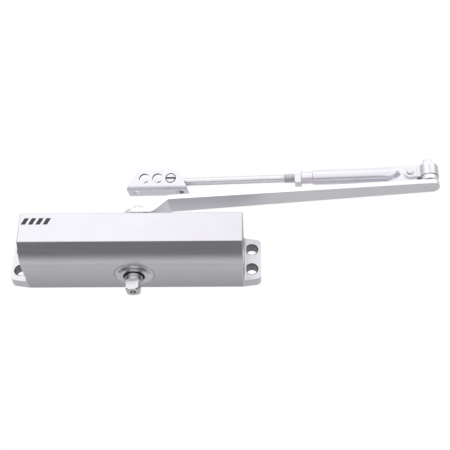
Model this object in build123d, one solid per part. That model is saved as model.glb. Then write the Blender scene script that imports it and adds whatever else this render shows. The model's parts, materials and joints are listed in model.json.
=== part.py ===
from build123d import *

import os
from math import acos, atan2, cos, hypot, pi, radians, sin, sqrt, tan

# Door closer: a rack-and-pinion hydraulic closer with a jointed, adjustable arm.
# Frame: the origin is the centre of the four door fixing holes, on the back face that lies on
# the door. +Y goes into the door, +Z goes up along the spindle to the arm, and +X points from
# the spindle towards the elbow. Every length is in millimetres and every angle in degrees.

# Housing: an extruded body with a flat front, sloping shoulders and a gently crowned belly
BODY_LENGTH = 182.0
FRONT_Y = -62.8
FRONT_HALF_HEIGHT = 13.4
SHOULDER_END = (-56.0, 18.0)
SHOULDER_ROUND = (-47.25, 22.05)
BELLY_START = (-37.6, 23.22)
BELLY_MIDDLE = (-19.0, 22.4)
BACK_HALF_HEIGHT = 20.7
FRONT_EDGE_FILLET = 0.9
END_CHAMFER = 0.6

# Fixing lugs: one at each end of the housing, two holes in each
LUG_SPAN = 211.5
LUG_THICKNESS = 10.4
LUG_END_DROP = 2.2
LUG_CORNER = 4.0
LUG_ROOT_FILLET = 2.4
HOLE_SPACING_X = 196.0
HOLE_SPACING_Z = 19.0
FIXING_HOLE_R = 4.8
FIXING_HOLE_CHAMFER = 0.75

# Cylinder bore, its two end caps and their O-rings
BORE_Y = -28.0
BORE_R = 17.0
CAP_R = 18.5
CAP_DEPTH = 12.0
CAP_RECESS = 0.8
CAP_KEY_R = 1.6
CAP_KEY_DEPTH = 4.0
CAP_KEY_PITCH_R = 11.0
O_RING_R = 0.9
O_RING_SETBACK = 2.0
O_RING_GROOVE = 2.2 * O_RING_R
STATIC_GAP = 0.05
SAME_POINT = 0.01
CUT = 1.0  # how far a cutter runs past the face that it opens

# Spindle: one bar with the pinion cut in its middle and a square at each end
SPINDLE_X = 1.0
SPINDLE_Y = -26.0
SPINDLE_R = 7.6
SQUARE_AF = 10.5
SHOULDER_Z = 31.0
LOWER_END_Z = -39.6
UPPER_END_Z = 35.6
SPINDLE_END_CHAMFER = 1.8
SPINDLE_TAP_R = 2.6
SPINDLE_TAP_DEPTH = 12.0

# Gearing
MODULE = 1.6
DEDENDUM = 1.25 * MODULE
PINION_TEETH = 12
PRESSURE_ANGLE = 25.0
PINION_HALF_HEIGHT = 13.0
FLANK_THINNING = 0.15
RACK_TEETH_BEFORE = 2
RACK_TEETH_AFTER = 7

# Spindle bearings, cap nuts and seals, alike above and below
NUT_THREAD_R = 14.0
NUT_INNER_Z = 17.05
SPOT_FACE_Z = 21.2
SPOT_FACE_R = 16.7
NUT_FLANGE_R = 16.2
NUT_FLANGE_Z = 23.3
NUT_FLANGE_CHAMFER = 0.5
NUT_HEX_AF = 26.5
NUT_HEX_TURN = 7.0
NUT_CROWN_CHAMFER = 1.2
NUT_TOP_Z = 25.3
NUT_MOUTH_GAP = 0.6
BEARING_R = 10.0
BEARING_TOP_Z = 21.4
SEAL_R = 9.0
SEAL_Z = (21.7, 24.3)
SEAL_DISH = (0.4, 0.7, 1.2)
RUNNING_GAP = 0.05

# Piston, running in the bore with a window for the pinion
PISTON_LEFT_X = -26.0
PISTON_RIGHT_X = 76.0
WINDOW_X = (-12.4, 41.6)
WINDOW_BACK_Y = -14.3
SKIRT_R = 12.0
SKIRT_DEPTH = 20.0
VALVE_POCKET_R = 6.0
VALVE_POCKET_DEPTH = 9.0
VALVE_PORT_R = 2.5
PISTON_CHAMFER = 0.8
TOOTH_ROOT_SINK = 0.5
BALL_R = 3.4
BALL_SEAT_GAP = 0.02
RETAINER_THICKNESS = 2.0
RETAINER_HOLES = 6
RETAINER_HOLE_R = 1.1
RETAINER_PITCH_R = 3.6

# Closing spring, between the left end cap and the piston
SPRING_MEAN_R = 13.0
SPRING_WIRE_R = 1.7
SPRING_COILS = 6.5
SPRING_END_GAP = 0.1

# Regulating valves in the right end face
VALVE_Y = -54.5
VALVE_Z = 5.6
VALVE_R = 3.2
VALVE_LENGTH = 20.0
VALVE_RECESS = 1.0
VALVE_SLOT = (1.0, 1.6)
VALVE_SLOT_TURN = 35.0
VALVE_NEEDLE_LENGTH = 4.0
VALVE_NEEDLE_R = 2.0
VALVE_GROOVE_R = 1.9
VALVE_GROOVE_HALF_WIDTH = 1.0
VALVE_RING_X = 80.0
VALVE_RING_WIRE_R = 0.62
CROSS_PORT_R = 1.2
CROSS_PORT_X = (73.5, 69.0)
RETURN_PORT_X = -72.0

# Main arm: a cranked bar on the upper square, in the arm's own frame (x from the spindle)
ARM_ANGLE = -6.32
ARM_LENGTH = 247.0
ARM_THICKNESS = 5.0
ARM_LOW_Z = 31.0
ARM_HIGH_Z = 42.8
ARM_HUB_R = 12.0
CRANK_START = 14.0
CRANK_END = 27.5
CRANK_OUTER_R = 9.0
ARM_HALF_WIDTH_ROOT = 9.9
ARM_HALF_WIDTH_TIP = 6.5
ARM_TIP_OVERHANG = 7.9
ARM_TIP_FLAT = 0.3
WASHER_R = 8.4
WASHER_THICKNESS = 1.4
WASHER_HOLE_R = 3.1
WASHER_CHAMFER = 0.3
ARM_SCREW_HEAD = (5.2, 4.6)
ARM_SCREW_CHAMFER = 0.5
ARM_SCREW_GRIP = 10.0
HEX_KEY_AF = 5.0
HEX_KEY_DEPTH = 2.6

# Elbow: pin, bush, washer and the strap that swings on them
ELBOW_BUSH_R = 7.4
BUSH_TOP_Z = 52.2
STRAP_Z = (52.3, 62.8)
STRAP_R = 8.1
STRAP_THICKNESS = 2.2
PIN_SHANK_R = 4.0
ELBOW_WASHER_TOP_Z = 63.7
PIN_HEAD_TOP_Z = 70.2
PIN_HEAD_R = (5.4, 3.6)
KNUCKLE_REACH = 15.2
EAR_R = 5.25
EAR_GAP = 3.5
RIVET_R = 2.2
RIVET_HEAD_R = 3.1
RIVET_HEAD_HEIGHT = 1.5
RIVET_HEAD_ROUND = 1.3

# Forearm, in its own frame (x from the knuckle rivet towards the shoe)
FOREARM_TILT = 2.6
TONGUE_THICKNESS = 3.4
TONGUE_HALF_HEIGHT = 8.5
TONGUE_END = 6.2
TONGUE_CORNER = 5.0
TUBE_R = 6.25
TUBE_START = 11.0
TUBE_BLEND = 13.0
TUBE_END = 81.8
NECK_R = 5.2
NECK_END = 91.1
BLEND_OVERLAP = (3.0, 1.0)
BLEND_INSET = 0.1
BLEND_ROUND_INSET = (0.03, 0.04)
TUBE_BORE_START = 36.0
THREAD_R = 4.0
THREAD_CHAMFER = 0.4
LOCK_NUT_AF = 13.0
LOCK_NUT_THICKNESS = 5.4
LOCK_NUT_GAP = 0.1
LOCK_NUT_CORNER_LOSS = 0.35
ROD_TAIL = 42.0
THREAD_END = 108.0
ROD_R = 3.5
PIVOT_REACH = 203.3
EYE_R = 6.2
EYE_THICKNESS = 7.0
EYE_EDGE = 0.8
EYE_NECK_OVERLAP = 1.5

# Shoe: a folded channel on the end of the rod, rolled round the rod and swung a little on its pivot
SHOE_ROLL = 7.8
SHOE_SWING = 0.9
SHOE_WIDTH = 17.0
SHOE_SHEET = 2.4
SHOE_BEND_R = 2.8
SHOE_BEND_INNER_R = 0.6
SHOE_BASE_LENGTH = 53.5
SHOE_TOP_LENGTH = 35.4
SHOE_DEPTH = 9.5
SHOE_RISE = 8.6
SHOE_TOP_CORNER = 4.0
SHOE_HOLE_R = 4.65
SHOE_HOLE_PITCH = 11.65
SHOE_FIXING_R = 3.3
SHOE_FIXING_SPACING = 38.0
PIVOT_R = 3.95
PIVOT_SLOT = (1.3, 1.8)
PIVOT_HEAD = (6.5, 3.0)
PIVOT_HEAD_ROUND = 1.2
SPACER_R = 6.0

PITCH_R = MODULE * PINION_TEETH / 2
TIP_R = PITCH_R + MODULE
BODY_HALF = BODY_LENGTH / 2
BORE_HALF = BODY_HALF - CAP_DEPTH
ELBOW = (
    SPINDLE_X + ARM_LENGTH * cos(radians(ARM_ANGLE)),
    SPINDLE_Y + ARM_LENGTH * sin(radians(ARM_ANGLE)),
)
FOREARM_YAW = ARM_ANGLE + 180
STRAP_MIDDLE_Z = sum(STRAP_Z) / 2


def along(axis, radius, start, end, at=(0, 0)):
    """A round bar along X, Y or Z from start to end, its centre at the two other coordinates."""
    bar = Cylinder(radius, end - start, align=(Align.CENTER, Align.CENTER, Align.MIN))
    if axis == "X":
        return Location((start, at[0], at[1]), (0, 90, 0)) * bar
    if axis == "Y":
        return Location((at[0], start, at[1]), (-90, 0, 0)) * bar
    return Location((at[0], at[1], start)) * bar


def block(x, y, z):
    """A box between pairs of limits."""
    middle = Location(((x[0] + x[1]) / 2, (y[0] + y[1]) / 2, (z[0] + z[1]) / 2))
    return middle * Box(x[1] - x[0], y[1] - y[0], z[1] - z[0])


def hexagon(across_flats, height, turn=0.0):
    """A hexagonal prism standing on Z = 0."""
    return extrude(RegularPolygon(across_flats / sqrt(3), 6, rotation=turn), height)


def arm_frame():
    """The main arm's frame, on the spindle axis with X along the arm."""
    a = radians(ARM_ANGLE)
    return Plane((SPINDLE_X, SPINDLE_Y, 0), x_dir=(cos(a), sin(a), 0), z_dir=(0, 0, 1)).location


def knuckle_frame():
    """The strap's frame, on the elbow axis with X towards the knuckle rivet."""
    a = radians(FOREARM_YAW)
    return Plane((*ELBOW, 0), x_dir=(cos(a), sin(a), 0), z_dir=(0, 0, 1)).location


def forearm_frame():
    """The forearm's frame, on the knuckle rivet with X along the tube and rod."""
    lift = Location((KNUCKLE_REACH, 0, STRAP_MIDDLE_Z), (0, -FOREARM_TILT, 0))
    return knuckle_frame() * lift


def shoe_frame():
    """The shoe's frame, on its pivot with Y along the pivot and Z away from the base."""
    rolled = forearm_frame() * Location((PIVOT_REACH, 0, 0), (-SHOE_ROLL, 0, 0))
    return rolled * Location((0, 0, 0), (0, -SHOE_SWING, 0))


def body_section():
    """The housing's section in the YZ plane."""
    edges = []
    for side in (1, -1):
        front = (FRONT_Y, side * FRONT_HALF_HEIGHT)
        shoulder = (SHOULDER_END[0], side * SHOULDER_END[1])
        belly = (BELLY_START[0], side * BELLY_START[1])
        edges.append(Line(front, shoulder))
        edges.append(ThreePointArc(shoulder, (SHOULDER_ROUND[0], side * SHOULDER_ROUND[1]), belly))
        middle = (BELLY_MIDDLE[0], side * BELLY_MIDDLE[1])
        edges.append(ThreePointArc(belly, middle, (0, side * BACK_HALF_HEIGHT)))
    edges.append(Line((FRONT_Y, FRONT_HALF_HEIGHT), (FRONT_Y, -FRONT_HALF_HEIGHT)))
    edges.append(Line((0, BACK_HALF_HEIGHT), (0, -BACK_HALF_HEIGHT)))
    section = make_face(Wire(edges))
    front_corners = section.vertices().sort_by(Axis.X)[:2]
    return fillet(front_corners, FRONT_EDGE_FILLET)


def lug_plate():
    """The plate behind the body whose two ends are the fixing lugs."""
    half, root = LUG_SPAN / 2, BODY_HALF
    end = BACK_HALF_HEIGHT - LUG_END_DROP
    outline = Polyline(
        (-half, -end), (-root, -BACK_HALF_HEIGHT), (root, -BACK_HALF_HEIGHT), (half, -end),
        (half, end), (root, BACK_HALF_HEIGHT), (-root, BACK_HALF_HEIGHT), (-half, end), close=True,
    )
    face = make_face(outline)
    corners = face.vertices().sort_by(Axis.X)
    face = fillet([*corners[:2], *corners[-2:]], LUG_CORNER)
    return extrude(Plane.XZ * face, LUG_THICKNESS)


def housing():
    """The body casting with its bore, openings, fixing holes and oil passages."""
    body = extrude(Plane.YZ * body_section(), BODY_HALF, both=True)
    ends = body.faces().sort_by(Axis.X)
    body = chamfer([*ends[0].edges(), *ends[-1].edges()], END_CHAMFER)
    body += lug_plate()
    root_edges = []
    for edge in body.edges().filter_by(Axis.Z):
        middle = edge.center()
        if hypot(abs(middle.X) - BODY_HALF, middle.Y + LUG_THICKNESS) < SAME_POINT:
            root_edges.append(edge)
    body = fillet(root_edges, LUG_ROOT_FILLET)
    for x in (-HOLE_SPACING_X / 2, HOLE_SPACING_X / 2):
        for z in (-HOLE_SPACING_Z / 2, HOLE_SPACING_Z / 2):
            body -= along("Y", FIXING_HOLE_R, -LUG_THICKNESS - CUT, CUT, (x, z))
            sink = Cone(FIXING_HOLE_R + FIXING_HOLE_CHAMFER, FIXING_HOLE_R, FIXING_HOLE_CHAMFER)
            middle = -LUG_THICKNESS + FIXING_HOLE_CHAMFER / 2
            body -= Location((x, middle, z), (-90, 0, 0)) * sink
    body -= along("X", BORE_R, -BODY_HALF, BODY_HALF, (BORE_Y, 0))
    pocket_start = BODY_HALF - VALVE_LENGTH - VALVE_RECESS - CUT
    clear = BELLY_START[1] + CUT
    for side in (1, -1):
        start, end = sorted((side * BORE_HALF, side * (BODY_HALF + CUT)))
        body -= along("X", CAP_R, start, end, (BORE_Y, 0))
        low, high = sorted((side * BORE_R / 2, side * clear))
        body -= along("Z", NUT_THREAD_R + STATIC_GAP, low, high, (SPINDLE_X, SPINDLE_Y))
        low, high = sorted((side * SPOT_FACE_Z, side * clear))
        body -= along("Z", SPOT_FACE_R, low, high, (SPINDLE_X, SPINDLE_Y))
        valve_at = (VALVE_Y, side * VALVE_Z)
        body -= along("X", VALVE_R + STATIC_GAP, pocket_start, BODY_HALF + CUT, valve_at)
    bore_front = BORE_Y - BORE_R / 2
    for x, z in zip(CROSS_PORT_X, (VALVE_Z, -VALVE_Z)):
        body -= along("Y", CROSS_PORT_R, VALVE_Y, bore_front, (x, z))
    body -= along("X", CROSS_PORT_R, RETURN_PORT_X, pocket_start + 2 * CUT, (VALVE_Y, VALVE_Z))
    return body - along("Y", CROSS_PORT_R, VALVE_Y, bore_front, (RETURN_PORT_X, VALVE_Z))


def end_cap(side):
    """A screwed end plug with two key holes and an O-ring groove."""
    inner, outer = BORE_HALF, BODY_HALF - CAP_RECESS
    cap = along("X", CAP_R - STATIC_GAP, inner, outer, (BORE_Y, 0))
    groove_start = inner + O_RING_SETBACK
    groove = along("X", CAP_R, groove_start, groove_start + O_RING_GROOVE, (BORE_Y, 0))
    cap -= groove - along("X", CAP_R - 2 * (O_RING_R + STATIC_GAP), inner, outer, (BORE_Y, 0))
    for key in (-CAP_KEY_PITCH_R, CAP_KEY_PITCH_R):
        cap -= along("X", CAP_KEY_R, outer - CAP_KEY_DEPTH, outer + CUT, (BORE_Y, key))
    return cap if side > 0 else mirror(cap, Plane.YZ)


def end_cap_seals():
    """The two O-rings in the end caps' grooves."""
    ring = Torus(CAP_R - O_RING_R - STATIC_GAP, O_RING_R)
    at = BORE_HALF + O_RING_SETBACK + O_RING_GROOVE / 2
    return [Location((side * at, BORE_Y, 0), (0, 90, 0)) * ring for side in (-1, 1)]


def at_spindle(shape, side):
    """A spindle piece drawn above the body, placed above it or mirrored below."""
    placed = Location((SPINDLE_X, SPINDLE_Y, 0)) * shape
    return placed if side > 0 else mirror(placed, Plane.XY)


def pinion_nut(side):
    """The flanged hexagonal cap nut that holds a spindle bearing."""
    nut = along("Z", NUT_THREAD_R, NUT_INNER_Z, SPOT_FACE_Z)
    nut += along("Z", NUT_FLANGE_R, SPOT_FACE_Z, NUT_FLANGE_Z)
    nut = chamfer(nut.edges().group_by(Axis.Z)[-1], NUT_FLANGE_CHAMFER)
    head = Location((0, 0, NUT_FLANGE_Z)) * hexagon(NUT_HEX_AF, NUT_TOP_Z - NUT_FLANGE_Z, NUT_HEX_TURN)
    top_r = NUT_HEX_AF / 2 - NUT_CROWN_CHAMFER
    crown_height = NUT_HEX_AF / sqrt(3) - top_r
    crown = Cone(top_r + crown_height, top_r, crown_height)
    nut += head & Location((0, 0, NUT_TOP_Z - crown_height / 2)) * crown
    nut -= along("Z", BEARING_R + STATIC_GAP, NUT_INNER_Z - CUT, BEARING_TOP_Z + STATIC_GAP)
    nut -= along("Z", SEAL_R + STATIC_GAP, SEAL_Z[0] - STATIC_GAP, NUT_TOP_Z + CUT)
    nut -= along("Z", SPINDLE_R + NUT_MOUTH_GAP, NUT_INNER_Z - CUT, NUT_TOP_Z + CUT)
    return at_spindle(nut, side)


def bearing(side):
    """A plain bearing bush in a cap nut."""
    bush = along("Z", BEARING_R, NUT_INNER_Z, BEARING_TOP_Z)
    return at_spindle(bush - along("Z", SPINDLE_R + RUNNING_GAP, 0, NUT_TOP_Z), side)


def shaft_seal(side):
    """A lip seal in a cap nut, dished towards the outside."""
    ring = along("Z", SEAL_R, *SEAL_Z) - along("Z", SPINDLE_R + RUNNING_GAP, 0, NUT_TOP_Z)
    inner_rim, outer_rim, depth = SEAL_DISH
    dish = Cone(SPINDLE_R + inner_rim, SEAL_R - outer_rim, depth)
    return at_spindle(ring - Location((0, 0, SEAL_Z[1] - (depth - RUNNING_GAP) / 2)) * dish, side)


def gear_section():
    """The pinion's section, with involute flanks, a tooth space facing the front."""
    base_r = PITCH_R * cos(radians(PRESSURE_ANGLE))
    root_r = PITCH_R - DEDENDUM
    pressure = radians(PRESSURE_ANGLE)
    half_tooth = pi / (2 * PINION_TEETH) - FLANK_THINNING / PITCH_R + tan(pressure) - pressure

    def flank(radius, side, middle):
        roll = acos(base_r / radius)
        angle = middle + side * (half_tooth - (tan(roll) - roll))
        return (radius * cos(angle), radius * sin(angle))

    step = 2 * pi / PINION_TEETH
    radii = [base_r + (TIP_R - base_r) * (i / 4) ** 1.5 for i in range(5)]
    sunk = 0.8 * root_r
    teeth = Circle(root_r)
    for tooth in range(PINION_TEETH):
        middle = -pi / 2 + step * (tooth + 0.5)
        rising = Spline([flank(r, -1, middle) for r in radii])
        falling = Spline([flank(r, 1, middle) for r in reversed(radii)])
        tip = ThreePointArc(rising @ 1, (TIP_R * cos(middle), TIP_R * sin(middle)), falling @ 0)
        start = (sunk * cos(middle - half_tooth), sunk * sin(middle - half_tooth))
        end = (sunk * cos(middle + half_tooth), sunk * sin(middle + half_tooth))
        root = [Line(falling @ 1, end), Line(end, start), Line(start, rising @ 0)]
        teeth += make_face(Wire([rising, tip, falling, *root]))
    return teeth


def spindle_square(length, end_chamfer=0.0):
    """A squared spindle end standing on Z = 0, its corners left on the bar's round."""
    stub = along("Z", SPINDLE_R, 0, length)
    if end_chamfer:
        stub = chamfer(stub.edges().group_by(Axis.Z)[-1], end_chamfer)
    flats = (-SQUARE_AF / 2, SQUARE_AF / 2)
    return stub & block(flats, flats, (0, length))


def pinion_spindle():
    """The spindle bar with the pinion, both squares and a tapped hole in each end."""
    bar = along("Z", SPINDLE_R, -SHOULDER_Z, SHOULDER_Z)
    bar += Location((0, 0, -PINION_HALF_HEIGHT)) * extrude(gear_section(), 2 * PINION_HALF_HEIGHT)
    upper = spindle_square(UPPER_END_Z - SHOULDER_Z)
    bar += Location((0, 0, SHOULDER_Z), (0, 0, ARM_ANGLE)) * upper
    lower = mirror(spindle_square(-SHOULDER_Z - LOWER_END_Z, SPINDLE_END_CHAMFER), Plane.XY)
    bar += Location((0, 0, -SHOULDER_Z), (0, 0, ARM_ANGLE)) * lower
    bar -= along("Z", SPINDLE_TAP_R, UPPER_END_Z - SPINDLE_TAP_DEPTH, UPPER_END_Z + CUT)
    bar -= along("Z", SPINDLE_TAP_R, LOWER_END_Z - CUT, LOWER_END_Z + SPINDLE_TAP_DEPTH)
    return Location((SPINDLE_X, SPINDLE_Y, 0)) * bar


def rack_teeth():
    """The rack's teeth as one comb in the XY plane, a tooth facing the spindle axis."""
    pitch = pi * MODULE
    slope = tan(radians(PRESSURE_ANGLE))
    line_y = SPINDLE_Y - PITCH_R
    tip_y, root_y = line_y + MODULE, line_y - DEDENDUM
    half = pitch / 4 - FLANK_THINNING
    teeth = []
    for tooth in range(-RACK_TEETH_BEFORE, RACK_TEETH_AFTER + 1):
        x = SPINDLE_X + tooth * pitch
        tip = half - MODULE * slope
        root = half + DEDENDUM * slope
        corners = [(x - root, root_y), (x - tip, tip_y), (x + tip, tip_y), (x + root, root_y)]
        teeth.append(extrude(make_face(Polyline(*corners, close=True)), 2 * BORE_R, both=True))
    return teeth


def piston():
    """The piston: two heads joined by rails, a rack along the front rail and a hollow skirt."""
    r = BORE_R - RUNNING_GAP
    body = along("X", r, PISTON_LEFT_X, PISTON_RIGHT_X, (BORE_Y, 0))
    body = chamfer(body.edges(), PISTON_CHAMFER)
    root_y = SPINDLE_Y - PITCH_R - DEDENDUM
    through = (-BORE_R - CUT, BORE_R + CUT)
    body -= block(WINDOW_X, (root_y, WINDOW_BACK_Y), through)
    round_bar = along("X", r, *WINDOW_X, (BORE_Y, 0))
    root_overlap = block(WINDOW_X, (root_y - TOOTH_ROOT_SINK, SPINDLE_Y), through)
    for tooth in rack_teeth():
        body += tooth & round_bar & root_overlap
    skirt_floor = PISTON_RIGHT_X - SKIRT_DEPTH
    pocket_floor = skirt_floor - VALVE_POCKET_DEPTH
    body -= along("X", SKIRT_R, skirt_floor, PISTON_RIGHT_X + CUT, (BORE_Y, 0))
    body -= along("X", VALVE_POCKET_R, pocket_floor, skirt_floor + CUT, (BORE_Y, 0))
    return body - along("X", VALVE_PORT_R, WINDOW_X[1] - CUT, skirt_floor, (BORE_Y, 0))


def check_ball():
    """The one-way valve's ball on its port in the piston."""
    seat = PISTON_RIGHT_X - SKIRT_DEPTH - VALVE_POCKET_DEPTH
    lift = sqrt(BALL_R**2 - VALVE_PORT_R**2) + BALL_SEAT_GAP
    return Location((seat + lift, BORE_Y, 0)) * Sphere(BALL_R)


def check_retainer():
    """The pressed-in disc that keeps the ball in its pocket."""
    face = PISTON_RIGHT_X - SKIRT_DEPTH
    disc = along("X", VALVE_POCKET_R, face - RETAINER_THICKNESS, face, (BORE_Y, 0))
    for hole in range(RETAINER_HOLES):
        angle = 2 * pi * hole / RETAINER_HOLES
        at = (BORE_Y + RETAINER_PITCH_R * cos(angle), RETAINER_PITCH_R * sin(angle))
        disc -= along("X", RETAINER_HOLE_R, face - RETAINER_THICKNESS - CUT, face + CUT, at)
    return disc


def main_spring():
    """The closing spring as one coiled wire between the left cap and the piston."""
    end_room = SPRING_WIRE_R + SPRING_END_GAP
    span = PISTON_LEFT_X + BORE_HALF - 2 * end_room
    coil = Helix(pitch=span / SPRING_COILS, height=span, radius=SPRING_MEAN_R)
    section = Plane(coil @ 0, z_dir=coil % 0) * Circle(SPRING_WIRE_R)
    wire = sweep(section, coil, is_frenet=True)
    return Location((-BORE_HALF + end_room, BORE_Y, 0), (0, 90, 0)) * wire


def regulating_valve(side):
    """A slotted regulating screw with its needle tip and a groove for the ring seal."""
    outer = BODY_HALF - VALVE_RECESS
    inner = outer - VALVE_LENGTH
    at = (VALVE_Y, side * VALVE_Z)
    screw = along("X", VALVE_R, inner + VALVE_NEEDLE_LENGTH, outer, at)
    screw += along("X", VALVE_NEEDLE_R, inner, inner + VALVE_NEEDLE_LENGTH + CUT, at)
    groove_start = VALVE_RING_X - VALVE_GROOVE_HALF_WIDTH
    groove_end = VALVE_RING_X + VALVE_GROOVE_HALF_WIDTH
    groove = along("X", VALVE_R + CUT, groove_start, groove_end, at)
    screw -= groove - along("X", VALVE_GROOVE_R, inner, outer, at)
    width, depth = VALVE_SLOT
    across = (-VALVE_R - CUT, VALVE_R + CUT)
    slot = block((outer - depth, outer + CUT), (-width / 2, width / 2), across)
    return screw - Location((0, *at), (VALVE_SLOT_TURN * side, 0, 0)) * slot


def valve_ring(side):
    """The ring seal in a regulating screw's groove."""
    ring = Torus(VALVE_R - VALVE_RING_WIRE_R, VALVE_RING_WIRE_R)
    return Location((VALVE_RING_X, VALVE_Y, side * VALVE_Z), (0, 90, 0)) * ring


def arm_half_width(x):
    """Half the main arm's width at a distance from the spindle."""
    share = (x - CRANK_END) / (ARM_LENGTH - CRANK_END)
    return ARM_HALF_WIDTH_ROOT + share * (ARM_HALF_WIDTH_TIP - ARM_HALF_WIDTH_ROOT)


def arm_plan():
    """The main arm seen from above: a round hub, a short neck and a long taper to a round tip."""
    tip_x = ARM_LENGTH + ARM_TIP_OVERHANG
    root, tip = arm_half_width(CRANK_START), arm_half_width(ARM_LENGTH)
    edge = [(CRANK_START, root), (ARM_LENGTH, tip), (tip_x, tip)]
    taper = make_face(Polyline(*edge, *[(x, -y) for x, y in reversed(edge)], close=True))
    taper = fillet(taper.vertices().sort_by(Axis.X)[-2:], tip - ARM_TIP_FLAT)
    neck = [(0, ARM_HUB_R), (CRANK_START, root), (CRANK_START, -root), (0, -ARM_HUB_R)]
    return taper + make_face(Polyline(*neck, close=True)) + Circle(ARM_HUB_R)


def arm_side():
    """The main arm seen from the front: low at the hub, with a crank up to the long run."""
    t, low, high = ARM_THICKNESS, ARM_LOW_Z, ARM_HIGH_Z
    start, end = -ARM_HUB_R - CUT, ARM_LENGTH + ARM_TIP_OVERHANG + CUT
    shift = t * tan(atan2(high - low, CRANK_END - CRANK_START) / 2)
    under = [(CRANK_START, low), (CRANK_END, high)]
    upper = [(CRANK_END - shift, high + t), (CRANK_START - shift, low + t)]
    outline = [(start, low), *under, (end, high), (end, high + t), *upper, (start, low + t)]
    side = make_face(Polyline(*outline, close=True))
    for radius, bends in ((CRANK_OUTER_R - t, (upper[1], under[1])), (CRANK_OUTER_R, (under[0], upper[0]))):
        near = [v for v in side.vertices() if min(hypot(v.X - x, v.Y - z) for x, z in bends) < SAME_POINT]
        side = fillet(near, radius)
    return side


def main_arm():
    """The cranked, tapering main arm with its square hole and its elbow hole."""
    bar = extrude(arm_plan(), 2 * ARM_HIGH_Z) & extrude(Plane.XZ * arm_side(), 2 * ARM_HUB_R, both=True)
    bar -= Location((0, 0, ARM_LOW_Z - ARM_THICKNESS)) * spindle_square(3 * ARM_THICKNESS)
    top = ARM_HIGH_Z + ARM_THICKNESS
    bar -= along("Z", PIN_SHANK_R, ARM_HIGH_Z - CUT, top + CUT, (ARM_LENGTH, 0))
    return arm_frame() * bar


def arm_washer():
    """The washer under the arm screw."""
    base = ARM_LOW_Z + ARM_THICKNESS
    ring = along("Z", WASHER_R, base, base + WASHER_THICKNESS)
    ring -= along("Z", WASHER_HOLE_R, base - CUT, base + WASHER_THICKNESS + CUT)
    return arm_frame() * chamfer(ring.edges().group_by(Axis.Z)[-1], WASHER_CHAMFER)


def arm_screw():
    """The socket-head screw that holds the arm on the spindle."""
    base = ARM_LOW_Z + ARM_THICKNESS + WASHER_THICKNESS
    head_r, head_height = ARM_SCREW_HEAD
    head = along("Z", head_r, base, base + head_height)
    head = chamfer(head.edges().group_by(Axis.Z)[-1], ARM_SCREW_CHAMFER)
    head -= Location((0, 0, base + head_height - HEX_KEY_DEPTH)) * hexagon(HEX_KEY_AF, HEX_KEY_DEPTH + CUT)
    return arm_frame() * (head + along("Z", SPINDLE_TAP_R - STATIC_GAP, base - ARM_SCREW_GRIP, base))


def elbow_bush():
    """The spacer bush between the main arm and the strap."""
    top = ARM_HIGH_Z + ARM_THICKNESS
    hole = along("Z", PIN_SHANK_R + STATIC_GAP, top - CUT, BUSH_TOP_Z + CUT)
    return knuckle_frame() * (along("Z", ELBOW_BUSH_R, top, BUSH_TOP_Z) - hole)


def elbow_washer():
    """The washer between the strap and the pin's head."""
    ring = along("Z", ELBOW_BUSH_R, STRAP_Z[1] + RUNNING_GAP, ELBOW_WASHER_TOP_Z)
    hole = along("Z", PIN_SHANK_R + STATIC_GAP, STRAP_Z[1], ELBOW_WASHER_TOP_Z + CUT)
    return knuckle_frame() * (ring - hole)


def elbow_pin():
    """The elbow pin: shank, bearing journal in the strap and a tapering head on top."""
    journal_r = STRAP_R - STRAP_THICKNESS - RUNNING_GAP
    pin = along("Z", PIN_SHANK_R, ARM_HIGH_Z, ELBOW_WASHER_TOP_Z)
    pin += along("Z", journal_r, BUSH_TOP_Z, STRAP_Z[1] + RUNNING_GAP)
    height = PIN_HEAD_TOP_Z - ELBOW_WASHER_TOP_Z
    head = Cone(*PIN_HEAD_R, height, align=(Align.CENTER, Align.CENTER, Align.MIN))
    return knuckle_frame() * (pin + Location((0, 0, ELBOW_WASHER_TOP_Z)) * head)


def knuckle_strap():
    """The strap folded round the elbow pin, with two ears for the knuckle rivet."""
    low, high = STRAP_Z
    ear_y = EAR_GAP / 2 + STRAP_THICKNESS
    ears = block((0, KNUCKLE_REACH), (-ear_y, ear_y), (low, high))
    ears += along("Y", EAR_R, -ear_y, ear_y, (KNUCKLE_REACH, STRAP_MIDDLE_Z))
    strap = along("Z", STRAP_R, low, high) + ears
    strap -= along("Z", STRAP_R - STRAP_THICKNESS, low - CUT, high + CUT)
    slit = block((0, KNUCKLE_REACH + EAR_R + CUT), (-EAR_GAP / 2, EAR_GAP / 2), (low - CUT, high + CUT))
    hole = along("Y", RIVET_R, -ear_y - CUT, ear_y + CUT, (KNUCKLE_REACH, STRAP_MIDDLE_Z))
    return knuckle_frame() * (strap - slit - hole)


def knuckle_rivet():
    """The round-headed rivet through the ears and the forearm's tongue."""
    ear_y = EAR_GAP / 2 + STRAP_THICKNESS
    rivet = along("Y", RIVET_R, -ear_y, ear_y, (KNUCKLE_REACH, STRAP_MIDDLE_Z))
    for side in (-1, 1):
        low, high = sorted((side * ear_y, side * (ear_y + RIVET_HEAD_HEIGHT)))
        head = along("Y", RIVET_HEAD_R, low, high, (KNUCKLE_REACH, STRAP_MIDDLE_Z))
        rivet += fillet(head.edges().group_by(Axis.Y)[-1 if side > 0 else 0], RIVET_HEAD_ROUND)
    return knuckle_frame() * rivet


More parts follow.
